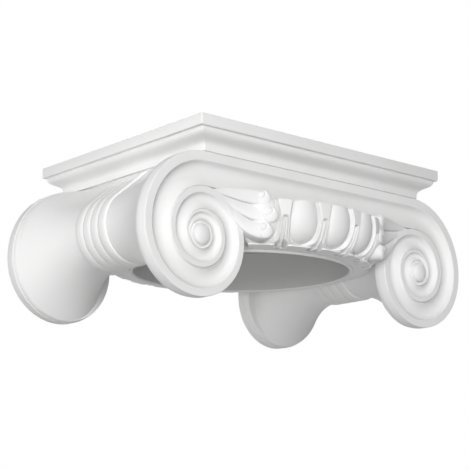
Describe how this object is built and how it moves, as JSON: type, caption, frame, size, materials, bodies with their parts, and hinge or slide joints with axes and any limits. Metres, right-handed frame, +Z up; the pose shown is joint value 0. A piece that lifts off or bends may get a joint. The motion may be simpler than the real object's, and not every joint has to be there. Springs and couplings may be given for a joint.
{
  "type": "ionic capital",
  "caption": "Rectangular ionic column capital: moulded abacus, spiral volutes joined by banded bolsters, egg-and-dart ring with palmettes, round socket below",
  "frame": {"origin": "middle of the outline on the level that the four volutes stand on", "axes": "+Z up, +X along the scrolled face from volute to volute, the two scrolled faces look along -Y and +Y"},
  "size_m": [0.3924, 0.2796, 0.1541],
  "materials": {
    "moulding": "smooth white primed moulded foam, soft satin"
  },
  "bodies": {
    "root": {"ionic_capital": "moulding"}
  },
  "joints": []
}
